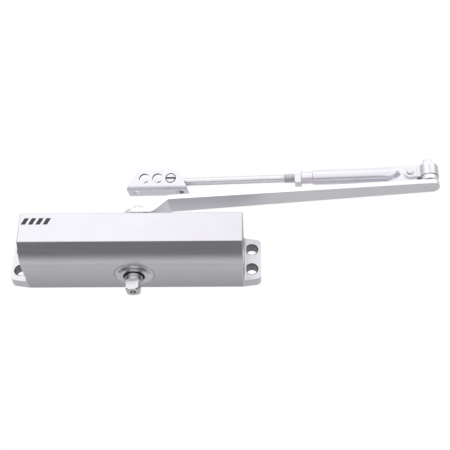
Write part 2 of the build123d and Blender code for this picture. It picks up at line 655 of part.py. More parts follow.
def forearm_tube():
    """The forearm tube, flattened into a tongue at the knuckle and necked at the lock nut."""
    half_width, half_height = TONGUE_THICKNESS / 2, TONGUE_HALF_HEIGHT
    full_start = TUBE_START + TUBE_BLEND
    tongue = block((-TONGUE_END, TUBE_START), (-half_width, half_width), (-half_height, half_height))
    end_edges = [edge for edge in tongue.edges().filter_by(Axis.Y) if edge.center().X < 0]
    tongue = fillet(end_edges, TONGUE_CORNER)
    flat = Plane((TUBE_START - BLEND_OVERLAP[0], 0, 0), x_dir=(0, 1, 0), z_dir=(1, 0, 0))
    full = Plane((full_start + BLEND_OVERLAP[1], 0, 0), x_dir=(0, 1, 0), z_dir=(1, 0, 0))
    blend = loft([
        flat * Ellipse(half_width - BLEND_INSET, half_height - BLEND_INSET),
        full * Ellipse(TUBE_R - BLEND_ROUND_INSET[0], TUBE_R - BLEND_ROUND_INSET[1]),
    ])
    tube = tongue + blend + along("X", TUBE_R, full_start, TUBE_END)
    tube += along("X", NECK_R, TUBE_END, NECK_END)
    tube -= along("X", THREAD_R + RUNNING_GAP, TUBE_BORE_START, NECK_END + CUT)
    return forearm_frame() * (tube - along("Y", RIVET_R + RUNNING_GAP, -half_width - CUT, half_width + CUT))


def lock_nut():
    """The thin hexagonal nut that locks the rod in the tube."""
    start = NECK_END + LOCK_NUT_GAP
    end = start + LOCK_NUT_THICKNESS
    nut = Location((start, 0, 0), (0, 90, 0)) * hexagon(LOCK_NUT_AF, LOCK_NUT_THICKNESS, turn=30)
    corner_r = LOCK_NUT_AF / sqrt(3) - LOCK_NUT_CORNER_LOSS
    nut &= Location(((start + end) / 2, 0, 0)) * Sphere(hypot(corner_r, LOCK_NUT_THICKNESS / 2))
    return forearm_frame() * (nut - along("X", THREAD_R + RUNNING_GAP, start - CUT, end + CUT))


def adjusting_rod():
    """The adjusting rod: threaded tail, plain shank and a flat eye for the shoe pivot."""
    rod = along("X", THREAD_R, ROD_TAIL, THREAD_END)
    rod = chamfer(rod.edges(), THREAD_CHAMFER)
    rod += along("X", ROD_R, THREAD_END - CUT, PIVOT_REACH - EYE_R + EYE_NECK_OVERLAP)
    half = EYE_THICKNESS / 2
    eye = fillet(along("Y", EYE_R, -half, half, (PIVOT_REACH, 0)).edges(), EYE_EDGE)
    eye -= along("Y", PIVOT_R + RUNNING_GAP, -half - CUT, half + CUT, (PIVOT_REACH, 0))
    return forearm_frame() * (rod + Location((0, 0, 0), (-SHOE_ROLL, 0, 0)) * eye)


def channel_section(inset, bend_r):
    """The shoe channel's outline in the YZ plane, drawn in by an inset and open past the top."""
    edge, base, top = SHOE_WIDTH / 2 - inset, inset - SHOE_DEPTH, SHOE_RISE + CUT
    face = make_face(Polyline((-edge, base), (edge, base), (edge, top), (-edge, top), close=True))
    return fillet(face.vertices().sort_by(Axis.Y)[:2], bend_r)


def shoe_bracket():
    """The folded steel channel with three pivot holes in each flange and two holes in its base."""
    base_half, top_half = SHOE_BASE_LENGTH / 2, SHOE_TOP_LENGTH / 2
    middle = SHOE_HOLE_PITCH
    flange = make_face(Polyline(
        (middle - base_half, -SHOE_DEPTH), (middle + base_half, -SHOE_DEPTH),
        (middle + top_half, SHOE_RISE), (middle - top_half, SHOE_RISE), close=True,
    ))
    flange = fillet(flange.vertices().sort_by(Axis.Y)[-2:], SHOE_TOP_CORNER)
    section = channel_section(0, SHOE_BEND_R) - channel_section(SHOE_SHEET, SHOE_BEND_INNER_R)
    bracket = extrude(Plane.XZ * flange, SHOE_WIDTH, both=True)
    bracket &= extrude(Plane.YZ * section, SHOE_BASE_LENGTH, both=True)
    for hole in range(3):
        bracket -= along("Y", SHOE_HOLE_R, -SHOE_WIDTH, SHOE_WIDTH, (hole * SHOE_HOLE_PITCH, 0))
    for x in (middle - SHOE_FIXING_SPACING / 2, middle + SHOE_FIXING_SPACING / 2):
        bracket -= along("Z", SHOE_FIXING_R, -SHOE_DEPTH - CUT, SHOE_SHEET + CUT - SHOE_DEPTH, (x, 0))
    return shoe_frame() * bracket


def shoe_pivot():
    """The slotted pivot pin, with a round head on the far side of the shoe."""
    half = SHOE_WIDTH / 2
    head_r, head_height = PIVOT_HEAD
    pin = along("Y", PIVOT_R, -half, half)
    head = along("Y", head_r, -half - head_height, -half)
    pin += fillet(head.edges().group_by(Axis.Y)[0], PIVOT_HEAD_ROUND)
    width, depth = PIVOT_SLOT
    across = (-PIVOT_R - CUT, PIVOT_R + CUT)
    return shoe_frame() * (pin - block(across, (half - depth, half + CUT), (-width / 2, width / 2)))


def shoe_spacers():
    """The two spacer rings that keep the eye in the middle of the shoe."""
    inner, outer = EYE_THICKNESS / 2 + RUNNING_GAP, SHOE_WIDTH / 2 - SHOE_SHEET
    hole = along("Y", PIVOT_R + STATIC_GAP, -SHOE_WIDTH, SHOE_WIDTH)
    rings = [along("Y", SPACER_R, inner, outer), along("Y", SPACER_R, -outer, -inner)]
    return [shoe_frame() * (ring - hole) for ring in rings]


def write(name, *shapes):
    """Write one node's solids to its STEP file."""
    solids = [solid for shape in shapes for solid in shape.solids()]
    export_step(solids[0] if len(solids) == 1 else Compound(solids), f"parts/{name}.step")


os.makedirs("parts", exist_ok=True)
write("housing", housing())
write("spring_end_cap", end_cap(-1))
write("valve_end_cap", end_cap(1))
write("end_cap_seals", *end_cap_seals())
write("upper_pinion_nut", pinion_nut(1))
write("lower_pinion_nut", pinion_nut(-1))
write("upper_bearing", bearing(1))
write("lower_bearing", bearing(-1))
write("upper_shaft_seal", shaft_seal(1))
write("lower_shaft_seal", shaft_seal(-1))
write("pinion_spindle", pinion_spindle())
write("piston", piston())
write("check_ball", check_ball())
write("check_retainer", check_retainer())
write("main_spring", main_spring())
write("closing_valve", regulating_valve(1))
write("closing_valve_ring", valve_ring(1))
write("latching_valve", regulating_valve(-1))
write("latching_valve_ring", valve_ring(-1))
write("main_arm", main_arm())
write("arm_washer", arm_washer())
write("arm_screw", arm_screw())
write("elbow_bush", elbow_bush())
write("elbow_washer", elbow_washer())
write("elbow_pin", elbow_pin())
write("knuckle_strap", knuckle_strap())
write("knuckle_rivet", knuckle_rivet())
write("forearm_tube", forearm_tube())
write("lock_nut", lock_nut())
write("adjusting_rod", adjusting_rod())
write("shoe_bracket", shoe_bracket())
write("shoe_pivot", shoe_pivot())
write("shoe_spacers", *shoe_spacers())
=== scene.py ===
import json
from math import cos, pi, radians, sin, sqrt

import bmesh
import bpy
from mathutils import Matrix, Vector


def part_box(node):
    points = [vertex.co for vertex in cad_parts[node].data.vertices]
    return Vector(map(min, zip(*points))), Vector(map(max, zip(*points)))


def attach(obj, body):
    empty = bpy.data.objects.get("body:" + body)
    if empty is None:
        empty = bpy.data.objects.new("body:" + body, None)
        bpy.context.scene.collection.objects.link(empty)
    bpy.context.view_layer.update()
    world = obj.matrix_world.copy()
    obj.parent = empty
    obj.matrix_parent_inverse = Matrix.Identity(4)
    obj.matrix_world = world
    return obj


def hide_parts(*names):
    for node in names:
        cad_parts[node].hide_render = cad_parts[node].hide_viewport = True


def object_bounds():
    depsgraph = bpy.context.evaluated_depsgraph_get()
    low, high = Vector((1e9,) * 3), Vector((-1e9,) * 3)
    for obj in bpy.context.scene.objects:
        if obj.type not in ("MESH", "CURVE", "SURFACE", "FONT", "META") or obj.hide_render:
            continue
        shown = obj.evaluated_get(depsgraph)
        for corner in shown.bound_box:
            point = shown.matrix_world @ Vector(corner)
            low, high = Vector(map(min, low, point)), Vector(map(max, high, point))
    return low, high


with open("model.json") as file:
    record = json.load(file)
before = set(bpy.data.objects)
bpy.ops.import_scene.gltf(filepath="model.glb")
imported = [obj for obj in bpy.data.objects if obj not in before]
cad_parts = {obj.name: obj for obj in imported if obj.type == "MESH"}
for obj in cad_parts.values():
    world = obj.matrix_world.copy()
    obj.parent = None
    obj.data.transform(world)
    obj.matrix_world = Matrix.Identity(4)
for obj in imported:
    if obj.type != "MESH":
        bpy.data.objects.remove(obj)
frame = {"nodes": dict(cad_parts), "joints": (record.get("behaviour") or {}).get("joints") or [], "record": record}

# The door closer's finished look round its fixed frame. Lengths are metres; MM turns a maker's
# millimetres into them. The frame gives the elbow, the rivet and the rod's line.
MM = 0.001
cad_box = [list(corner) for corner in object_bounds()]
joints = {joint["name"]: joint for joint in frame["joints"]}
nodes = frame["nodes"]

# Main arm: its own edges, rounder along the top than underneath
ARM_TOP_ROUND = 1.2 * MM
ARM_LOWER_ROUND = 0.8 * MM

# Forearm tube, along the rod's line from the knuckle rivet
TONGUE_HALF_THICKNESS = 1.7 * MM
TONGUE_HALF_HEIGHT = 8.5 * MM
TONGUE_END = -6.2 * MM
TONGUE_CORNER = 5.0 * MM
PRESS_START = 7.2 * MM
PRESS_LENGTH = 4.6 * MM
PRESS_SWEEP = 12.0 * MM
TUBE_FULL = 27.0 * MM
TUBE_R = 6.25 * MM
TUBE_END = 81.8 * MM
TUBE_SHOULDER = 1.3 * MM
NECK_R = 5.2 * MM
NECK_END = 91.1 * MM
TUBE_BORE_R = 4.06 * MM
TUBE_BORE_DEPTH = 40.0 * MM
RING_POINTS = 96

# Threads: the rod's M8 and the tapped hole in the spindle's lower end
ROD_THREAD_START = 42.0 * MM
ROD_THREAD_END = 107.9 * MM
ROD_THREAD_R = 4.0 * MM
ROD_CORE_R = 3.3 * MM
ROD_PITCH = 1.25 * MM
TAP_R = 2.6 * MM
TAP_CREST_R = 2.25 * MM
TAP_PITCH = 1.0 * MM
TAP_DEPTH = 10.0 * MM
THREAD_SEGMENTS = 40

# Holes and the pivot's slot: bare metal in the holes, with painted shade darkening the hole walls, the slot and the
# pivot's rim
FIXING_HOLE_AT = (98.0 * MM, 9.5 * MM)
FIXING_HOLE_R = 5.35 * MM
SHOE_SWING = radians(0.9)
SHOE_HOLE_PITCH = 11.65 * MM
SHOE_HOLE_R = 4.98 * MM
PIVOT_SLOT_HALF = 0.75 * MM
PIVOT_RIM_R = 3.75 * MM

# Printed mark on the front face: slanted bars, a plain stand-in for a maker's print
MARK_LEFT = -88.0 * MM
MARK_WIDTH = 24.0 * MM
MARK_MIDDLE_Z = 6.0 * MM
MARK_HALF_HEIGHT = 3.1 * MM
MARK_BARS = 4
MARK_SLANT = 0.45
MARK_INK_SHARE = 0.62

# The body's ends, and where and how far painted shade darkens its lacquer towards the door
BODY_HALF = 90.6 * MM
BELLY_SHADE_SPAN = (-38.0 * MM, -1.0 * MM)
BELLY_SHADE_DARKEST = 0.4

# Camera: the target on the object, the distance from it and the angles of the view
VIEW_TARGET = Vector((75.45, -25.0, 25.22)) * MM
VIEW_DISTANCE = 888.1 * MM
VIEW_AZIMUTH = radians(2.118)
VIEW_ELEVATION = radians(-32.329)
VIEW_ROLL = radians(0.747)
SENSOR = 36.0
LENS = 83.7
FLOOR_Z = -0.9

# Dome light: degrees round the object, from level behind it (0) through straight below (90) to
# the front (180), with the light from there; and how the light falls off towards the sides
DOME_STEPS = ((-180, 1.0), (-75, 0.95), (-50, 0.6), (-20, 0.52), (0, 0.66), (20, 0.62), (38, 0.46), (55, 0.72),
              (70, 0.48), (82, 0.17), (112, 0.16), (132, 0.4), (150, 0.95), (180, 1.0))
DOME_STRENGTH = 1.12
SIDE_DIMMING = {"From Min": 0.62, "From Max": 0.92, "To Min": 1.0, "To Max": 0.5}
FLOOR_SIZE = 30.0


def lined_up(origin, x_axis, y_axis):
    """The matrix of a part's own frame, from its origin and two square axes."""
    x, y = x_axis.normalized(), y_axis.normalized()
    z = x.cross(y)
    rows = Matrix((x, y, z)).transposed()
    return Matrix.Translation(origin) @ rows.to_4x4()


def joint_place(name):
    return Vector(joints[name]["pos_m"])


def joint_axis(name):
    return Vector(joints[name]["axis"]).normalized()


UP = Vector((0, 0, 1))
spindle = joint_place("spindle_turn")
elbow = joint_place("elbow_pivot")
arm_line = Vector((elbow.x - spindle.x, elbow.y - spindle.y, 0)).normalized()
arm_frame = lined_up(spindle, arm_line, UP.cross(arm_line))
forearm_frame = lined_up(joint_place("knuckle_tilt"), joint_axis("rod_turn"), -joint_axis("knuckle_tilt"))
shoe_level = lined_up(joint_place("shoe_pivot"), joint_axis("rod_turn"), -joint_axis("shoe_pivot"))
shoe_frame = shoe_level @ Matrix.Rotation(-SHOE_SWING, 4, "Y")
shoe_inverse = shoe_frame.inverted()


# ---- Materials -------------------------------------------------------------------------------


class Finish:
    """A material's nodes: a principled shader whose patterns are added one node at a time."""

    def __init__(self, name, **plain):
        self.material = bpy.data.materials.new(name)
        self.material.use_nodes = True
        self.tree = self.material.node_tree
        self.shader = self.tree.nodes["Principled BSDF"]
        for socket, value in plain.items():
            self.shader.inputs[socket.replace("_", " ")].default_value = value
        self.place = self.add("ShaderNodeTexCoord").outputs["Object"]

    def add(self, kind, sockets=None, **settings):
        """A node with its settings made and its sockets set or joined."""
        node = self.tree.nodes.new(kind)
        for key, value in settings.items():
            setattr(node, key, value)
        for socket, value in (sockets or {}).items():
            if isinstance(value, bpy.types.NodeSocket):
                self.tree.links.new(value, node.inputs[socket])
            else:
                node.inputs[socket].default_value = value
        return node

    def sum(self, operation, *values):
        """A Math node's result."""
        return self.add("ShaderNodeMath", dict(enumerate(values)), operation=operation).outputs[0]

    def mapped(self, scale=(1, 1, 1), turn=(0, 0, 0), shift=(0, 0, 0)):
        """Object coordinates scaled, turned and shifted."""
        sockets = {"Vector": self.place, "Scale": scale, "Rotation": turn, "Location": shift}
        return self.add("ShaderNodeMapping", sockets).outputs[0]

    def in_frame(self, part_frame, scale=(1, 1, 1)):
        """Object coordinates seen from a part's own frame, then scaled."""
        inverse = part_frame.inverted()
        local = self.mapped(turn=inverse.to_euler(), shift=inverse.to_translation())
        return self.add("ShaderNodeVectorMath", {0: local, 1: scale}, operation="MULTIPLY").outputs[0]

    def noise(self, vector, scale, detail=2.0, roughness=0.5):
        sockets = {"Vector": vector, "Scale": scale, "Detail": detail, "Roughness": roughness}
        return self.add("ShaderNodeTexNoise", sockets).outputs["Fac"]

    def between(self, value, low, high, start=0.3, end=0.7):
        """A pattern value spread from low to high."""
        sockets = {"Value": value, "From Min": start, "From Max": end, "To Min": low, "To Max": high}
        return self.add("ShaderNodeMapRange", sockets).outputs[0]

    def mix(self, share, first, second):
        """A colour part way between two colours."""
        node = self.add("ShaderNodeMix", data_type="RGBA")
        for socket, value in ((node.inputs[0], share), (node.inputs[6], first), (node.inputs[7], second)):
            if isinstance(value, bpy.types.NodeSocket):
                self.tree.links.new(value, socket)
            else:
                socket.default_value = value
        return node.outputs[2]

    def drive(self, socket, value):
        """Join a pattern to one of the shader's sockets."""
        self.tree.links.new(value, self.shader.inputs[socket])

    def bump(self, height, strength, distance):
        """Raise the surface by a pattern."""
        sockets = {"Height": height, "Strength": strength, "Distance": distance}
        self.drive("Normal", self.add("ShaderNodeBump", sockets).outputs[0])


def shade(value, tint=(1.0, 0.98, 1.04)):
    """A cool grey as a colour socket's four numbers."""
    return (value * tint[0], value * tint[1], value * tint[2], 1.0)


def printed_bars(finish):
    """A mask that is 1 inside the printed mark's slanted bars on the front face."""
    split = finish.add("ShaderNodeSeparateXYZ", {0: finish.place})
    x, y, z = split.outputs
    height = finish.sum("SUBTRACT", z, MARK_MIDDLE_Z)
    lean = finish.sum("MULTIPLY", height, MARK_SLANT)
    along = finish.sum("SUBTRACT", finish.sum("SUBTRACT", x, lean), MARK_LEFT)
    cycle = finish.sum("FRACT", finish.sum("DIVIDE", along, MARK_WIDTH / MARK_BARS))
    tests = (
        finish.sum("LESS_THAN", cycle, MARK_INK_SHARE),
        finish.sum("GREATER_THAN", along, 0.0),
        finish.sum("LESS_THAN", along, MARK_WIDTH),
        finish.sum("LESS_THAN", finish.sum("ABSOLUTE", height), MARK_HALF_HEIGHT),
        finish.sum("LESS_THAN", y, cad_box[0][1] + 0.3 * MM),
    )
    mask = tests[0]
    for test in tests[1:]:
        mask = finish.sum("MULTIPLY", mask, test)
    return mask


def painted_belly_shade(finish):
    """How far painted shade darkens the body's lacquer from its shoulder round to the door."""
    x, y, _ = finish.add("ShaderNodeSeparateXYZ", {0: finish.place}).outputs
    share = finish.between(y, 0.0, 0.85, BELLY_SHADE_SPAN[0], BELLY_SHADE_SPAN[1])
    return finish.sum("MULTIPLY", share, finish.sum("LESS_THAN", finish.sum("ABSOLUTE", x), BODY_HALF))


def satin_lacquer(name, part_frame, light, dark, streak, printed_and_shaded=False):
    """Silver lacquer over drawn metal: long faint streaks, fine metal flake and soft clouding; on the body, painted
    shade towards the door and a printed mark.
    """
    finish = Finish(name, Metallic=0.9, Roughness=0.3)
    streaks = finish.noise(finish.in_frame(part_frame, (9, 1100, 1100)), 1.0, 4.0, 0.6)
    clouds = finish.noise(finish.place, 55.0, 3.0)
    flake = finish.add("ShaderNodeTexVoronoi", {"Vector": finish.place, "Scale": 3200.0})
    sparkle = finish.add("ShaderNodeSeparateColor", {0: flake.outputs["Color"]}).outputs[0]
    pattern = finish.sum("ADD", finish.sum("MULTIPLY", streaks, streak), finish.sum("MULTIPLY", sparkle, 0.12))
    pattern = finish.sum("ADD", pattern, finish.sum("MULTIPLY", clouds, 0.25))
    middle = (streak + 0.37) / 2
    tone = finish.between(pattern, 0.0, 1.0, middle - 0.2, middle + 0.2)
    colour = finish.mix(tone, shade(dark), shade(light))
    grain = finish.between(streaks, 0.26, 0.37)
    if printed_and_shaded:
        # Painted shade: the body's lacquer darkens towards the door, standing in for the dimmer light there.
        colour = finish.mix(painted_belly_shade(finish), colour, shade(BELLY_SHADE_DARKEST))
        mask = printed_bars(finish)
        colour = finish.mix(mask, colour, shade(0.035))
        finish.drive("Metallic", finish.sum("SUBTRACT", 0.9, finish.sum("MULTIPLY", mask, 0.9)))
    finish.drive("Base Color", colour)
    finish.drive("Roughness", grain)
    finish.bump(finish.sum("ADD", streaks, finish.sum("MULTIPLY", sparkle, 0.3)), 0.08, 0.05 * MM)
    return finish.material


def turned_metal(name, part_frame, light, dark, rough=(0.16, 0.3), metallic=1.0, axis="Z", tint=(1.0, 0.985, 1.03)):
    """Bright metal with fine turning rings about an axis of the part's own frame."""
    finish = Finish(name, Metallic=metallic, Roughness=rough[0])
    local = finish.in_frame(part_frame)
    split = finish.add("ShaderNodeSeparateXYZ", {0: local}).outputs
    lengthwise = split["XYZ".index(axis)]
    others = [split[i] for i in range(3) if "XYZ"[i] != axis]
    squares = [finish.sum("MULTIPLY", other, other) for other in others]
    radius = finish.sum("SQRT", finish.sum("ADD", *squares))
    place = finish.sum("MULTIPLY", finish.sum("ADD", radius, lengthwise), 4200.0)
    rings = finish.add("ShaderNodeTexNoise", {"W": place, "Scale": 1.0, "Detail": 3.0}, noise_dimensions="1D")
    ringed = rings.outputs["Fac"]
    clouds = finish.noise(finish.place, 180.0, 3.0)
    tone = finish.sum("ADD", finish.sum("MULTIPLY", ringed, 0.5), finish.sum("MULTIPLY", clouds, 0.5))
    finish.drive("Base Color", finish.mix(finish.between(tone, 0.0, 1.0), shade(dark, tint), shade(light, tint)))
    finish.drive("Roughness", finish.between(tone, *rough))
    finish.bump(ringed, 0.12, 0.03 * MM)
    return finish.material


def plated_metal(name, light, dark, rough=(0.2, 0.34), tint=(1.0, 0.985, 1.03)):
    """Plated pressed steel: soft clouding, a fine tooth and faint scuffs."""
    finish = Finish(name, Metallic=1.0, Roughness=rough[0])
    clouds = finish.noise(finish.place, 140.0, 4.0, 0.6)
    scuffs = finish.noise(finish.mapped(scale=(900, 900, 120), turn=(0.5, 0.3, 0)), 1.0, 2.0)
    tone = finish.sum("ADD", finish.sum("MULTIPLY", clouds, 0.6), finish.sum("MULTIPLY", scuffs, 0.4))
    finish.drive("Base Color", finish.mix(finish.between(tone, 0.0, 1.0), shade(dark, tint), shade(light, tint)))
    finish.drive("Roughness", finish.between(tone, *rough))
    finish.bump(tone, 0.1, 0.04 * MM)
    return finish.material


def sealing_rubber(name):
    """Matte black rubber with a fine moulded grain."""
    finish = Finish(name, Metallic=0.0, Roughness=0.6)
    grain = finish.noise(finish.place, 1800.0, 3.0)
    finish.drive("Base Color", finish.mix(grain, shade(0.06), shade(0.13)))
    finish.drive("Roughness", finish.between(grain, 0.5, 0.7))
    finish.bump(grain, 0.2, 0.04 * MM)
    return finish.material


def bare_bronze(name, light, dark, rough):
    """Bronze or brass with a porous, slightly stained surface."""
    finish = Finish(name, Metallic=1.0, Roughness=rough[0])
    pores = finish.noise(finish.place, 1500.0, 4.0, 0.7)
    stain = finish.noise(finish.place, 120.0, 2.0)
    finish.drive("Base Color", finish.mix(finish.between(stain, 0.0, 1.0), dark, light))
    finish.drive("Roughness", finish.between(pores, *rough))
    finish.bump(pores, 0.1, 0.03 * MM)
    return finish.material


level = Matrix.Identity(4)
body_lacquer_and_shade = satin_lacquer("body lacquer", level, 0.80, 0.70, 0.55, printed_and_shaded=True)
arm_lacquer = satin_lacquer("arm lacquer", arm_frame, 0.96, 0.88, 0.35)
forearm_lacquer = satin_lacquer("forearm lacquer", forearm_frame, 0.88, 0.8, 0.3)
shoe_lacquer = satin_lacquer("shoe lacquer", shoe_frame, 0.88, 0.8, 0.25)
spindle_metal = turned_metal("ground spindle steel", Matrix.Translation(spindle), 0.76, 0.62)
nut_zinc = turned_metal("zinc on the cap nuts", Matrix.Translation(spindle), 0.82, 0.66, (0.2, 0.34))
elbow_zinc = turned_metal("zinc at the elbow", Matrix.Translation(elbow), 0.92, 0.8)
lock_nut_zinc = turned_metal("zinc on the lock nut", forearm_frame, 0.97, 0.88, axis="X")
rod_zinc = turned_metal("zinc on the rod", forearm_frame, 0.82, 0.7, axis="X")
thread_zinc = plated_metal("zinc in the rod's thread", 0.78, 0.6, (0.28, 0.42))
pivot_zinc = turned_metal("zinc on the shoe pivot", shoe_frame, 0.84, 0.7, axis="Y")
strap_zinc = plated_metal("zinc on the strap", 0.84, 0.7, (0.16, 0.28))
screw_zinc = turned_metal("zinc on the arm screw", Matrix.Translation(spindle), 0.8, 0.66)
cap_metal = turned_metal("turned aluminium", lined_up(Vector((0, -28 * MM, 0)), UP, Vector((0, 1, 0))), 0.72, 0.6,
                         (0.25, 0.38))
piston_metal = turned_metal("machined piston steel", lined_up(Vector((0, -28 * MM, 0)), UP, Vector((0, 1, 0))),
                            0.55, 0.42, (0.22, 0.36))
spring_metal = plated_metal("oiled spring steel", 0.36, 0.22, (0.25, 0.4))
bearing_bronze = bare_bronze("sintered bronze", (0.62, 0.44, 0.26, 1), (0.5, 0.33, 0.18, 1), (0.35, 0.55))
valve_brass = bare_bronze("turned brass", (0.8, 0.64, 0.34, 1), (0.68, 0.52, 0.26, 1), (0.2, 0.34))
seal_rubber = sealing_rubber("black seal rubber")
# Hole walls: bare metal, painted darker as the shade inside the holes.
hole_wall_metal_and_shade = plated_metal("dull metal in drilled holes", 0.3, 0.18, (0.35, 0.5))
# Painted shade in the pivot's driver slot and on the ring round its head.
slot_shade_metal = plated_metal("dark metal in the pivot's slot", 0.16, 0.08, (0.5, 0.7))


# ---- Shapes ----------------------------------------------------------------------------------


def shown(name, mesh, material, sharp_angle=42.0):
    """Show a mesh as a piece whose flats stay flat beside their rounded edges."""
    for face in mesh.polygons:
        face.use_smooth = True
    mesh.set_sharp_from_angle(angle=radians(sharp_angle))
    mesh.materials.clear()
    mesh.materials.append(material)
    piece = bpy.data.objects.new(name, mesh)
    bpy.context.scene.collection.objects.link(piece)
    weigh = piece.modifiers.new("even flats", "WEIGHTED_NORMAL")
    weigh.keep_sharp = True
    return piece


def welded_copy(node):
    """A CAD piece's faces joined up, with its flats made whole, ready for shaping."""
    shape = bmesh.new()
    shape.from_mesh(nodes[node].data)
    bmesh.ops.remove_doubles(shape, verts=shape.verts, dist=0.002 * MM)
    bmesh.ops.dissolve_limit(shape, angle_limit=radians(0.8), verts=shape.verts, edges=shape.edges)
    return shape


def corners_of(shape, angle, wanted=None):
    """A shape's edges that turn more sharply than an angle, and that a test wants."""
    found = []
    for edge in shape.edges:
        if len(edge.link_faces) == 2 and edge.calc_face_angle() > radians(angle):
            middle = (edge.verts[0].co + edge.verts[1].co) / 2
            if wanted is None or wanted(middle, edge):
                found.append(edge)
    return found


def round_edges(shape, edges, width, segments=2):
    """Round some edges, leaving neighbouring ones clear of each other."""
    bmesh.ops.bevel(shape, geom=edges, offset=width, offset_type="OFFSET", segments=segments,
                    profile=0.5, affect="EDGES", clamp_overlap=True)


def finish_shape(name, node, shape, material, recess=None):
    """Stand a shaped copy in for its CAD piece, on that piece's body.

    A recess is a dark material that paints the shade in it, and a test of a face's middle for where it shows."""
    mesh = bpy.data.meshes.new(name)
    shape.to_mesh(mesh)
    shape.free()
    stale = mesh.attributes.get("custom_normal")
    if stale:
        mesh.attributes.remove(stale)
    piece = shown(name, mesh, material)
    if recess:
        mesh.materials.append(recess[0])
        for face in mesh.polygons:
            face.material_index = int(recess[1](face.center, face.normal))
    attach(piece, body_of_node[node])
    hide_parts(node)
    return piece


bodies = frame["record"]["behaviour"]["bodies"]
body_of_node = {node: body for body, members in bodies.items() for node in members}


def rounded_piece(node, width, material, recess=None):
    """A CAD piece with every corner rounded by a small width, and its recesses in a dark material that paints their
    shade.
    """
    shape = welded_copy(node)
    round_edges(shape, corners_of(shape, 24), width, 2)
    finish_shape(node + "_finished", node, shape, material, recess)


def in_fixing_hole(middle, normal):
    """Whether a face of the housing lines one of its four fixing holes."""
    across = Vector((abs(middle.x) - FIXING_HOLE_AT[0], abs(middle.z) - FIXING_HOLE_AT[1]))
    return across.length < FIXING_HOLE_R and abs(normal.y) < 0.95


def in_shoe_hole(middle, normal):
    """Whether a face of the shoe lines one of its pivot holes."""
    local = shoe_inverse @ middle
    nearest = min(2, max(0, round(local.x / SHOE_HOLE_PITCH))) * SHOE_HOLE_PITCH
    across = Vector((local.x - nearest, local.z))
    return across.length < SHOE_HOLE_R and abs(normal.dot(shoe_frame.col[1].xyz)) < 0.9


def in_pivot_slot(middle, _normal):
    """Whether a face of the shoe's pivot pin lies inside its driver slot or on its rim, where painted shade darkens it.
    """
    local = shoe_inverse @ middle
    inside = abs(local.z) < PIVOT_SLOT_HALF and local.y > 0
    on_rim = Vector((local.x, local.z)).length > PIVOT_RIM_R and local.y > 0
    return inside or on_rim


def main_arm():
    """The main arm, well rounded along its top edges and lightly underneath."""
    shape = welded_copy("main_arm")
    inverse = arm_frame.inverted()

    def upper_outline(middle, edge):
        normals = [face.normal.z for face in edge.link_faces]
        local = inverse @ middle
        near_hole = (local - Vector((0, 0, local.z))).length < 10 * MM or (elbow - middle).xy.length < 5 * MM
        return max(normals) > 0.5 and min(normals) < 0.3 and not near_hole

    round_edges(shape, corners_of(shape, 40, upper_outline), ARM_TOP_ROUND, 4)
    round_edges(shape, corners_of(shape, 40), ARM_LOWER_ROUND, 3)
    finish_shape("main_arm_finished", "main_arm", shape, arm_lacquer)


def eased(value):
    """A smooth step from 0 to 1."""
    value = min(1.0, max(0.0, value))
    return value * value * (3 - 2 * value)


def tube_ring(at, radius=None):
    """One ring of the forearm tube, flat at the tongue and round along the tube."""
    ring = []
    full = eased((at - PRESS_START) / (TUBE_FULL - PRESS_START))
    height = TONGUE_HALF_HEIGHT + (TUBE_R - TONGUE_HALF_HEIGHT) * full
    corner = TONGUE_CORNER - (at - TONGUE_END)
    if corner > 0:
        height -= TONGUE_CORNER - sqrt(max(0.0, TONGUE_CORNER ** 2 - corner ** 2))
    for step in range(RING_POINTS):
        angle = 2 * pi * step / RING_POINTS
        side, rise = cos(angle), sin(angle)
        if radius:
            ring.append((at, radius * side, radius * rise))
            continue
        flat = TONGUE_HALF_THICKNESS * sqrt(max(0.0, 1 - abs(rise) ** 8))
        pressed = eased((at - PRESS_START - PRESS_SWEEP * rise ** 2) / PRESS_LENGTH)
        depth = flat + (TUBE_R * abs(side) - flat) * pressed
        ring.append((at, depth if side > 0 else -depth, height * rise))
    return ring


def forearm_tube():
    """The forearm tube, pressed flat into a tongue and necked down at the lock nut."""
    places = [TONGUE_END + TONGUE_CORNER * (1 - cos(pi / 2 * i / 8)) for i in range(9)]
    places += [PRESS_START + (TUBE_FULL - PRESS_START) * i / 48 for i in range(49)]
    places += [TUBE_FULL + (TUBE_END - TUBE_SHOULDER - TUBE_FULL) * i / 6 for i in range(1, 7)]
    rings = [tube_ring(at) for at in places]
    for i in range(1, 7):
        turn = pi / 2 * i / 6
        drop = (TUBE_R - NECK_R) * (1 - cos(turn))
        rings.append(tube_ring(TUBE_END - TUBE_SHOULDER * (1 - sin(turn)), TUBE_R - drop))
    rings.append(tube_ring(NECK_END - 0.4 * MM, NECK_R))
    rings.append(tube_ring(NECK_END, NECK_R - 0.35 * MM))
    rings.append(tube_ring(NECK_END, TUBE_BORE_R))
    rings.append(tube_ring(NECK_END - TUBE_BORE_DEPTH, TUBE_BORE_R))
    shape = bmesh.new()
    loops = [[shape.verts.new(forearm_frame @ Vector(point)) for point in ring] for ring in rings]
    for first, second in zip(loops, loops[1:]):
        for i in range(RING_POINTS):
            j = (i + 1) % RING_POINTS
            shape.faces.new((first[i], first[j], second[j], second[i]))
    shape.faces.new(loops[0][::-1])
    shape.faces.new(loops[-1])
    bmesh.ops.recalc_face_normals(shape, faces=shape.faces)
    finish_shape("forearm_tube_finished", "forearm_tube", shape, forearm_lacquer)


